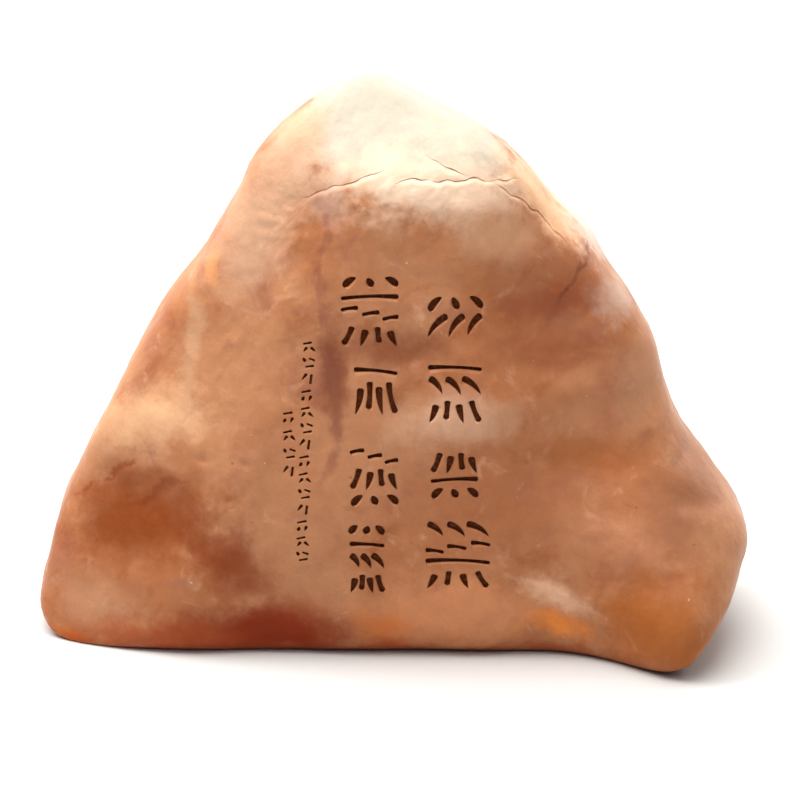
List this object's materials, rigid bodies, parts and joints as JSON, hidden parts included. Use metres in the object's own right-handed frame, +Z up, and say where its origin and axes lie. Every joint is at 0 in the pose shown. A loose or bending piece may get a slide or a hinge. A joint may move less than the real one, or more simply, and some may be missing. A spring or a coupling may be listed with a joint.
{
  "type": "engraved desk stone",
  "caption": "Mountain-shaped water-worn stone on a flat base, with columns of shallow painted brush strokes cut into its front.",
  "frame": {"origin": "middle of the stone's bounding box in plan, on the flat underside", "axes": "+Z up to the peak, +X along the stone's width with the protruding toe at +X, -Y is the engraved front"},
  "size_m": [0.1805, 0.0839, 0.1408],
  "materials": {
    "stone": "satin"
  },
  "bodies": {
    "root": {"stone": "stone"}
  },
  "joints": []
}
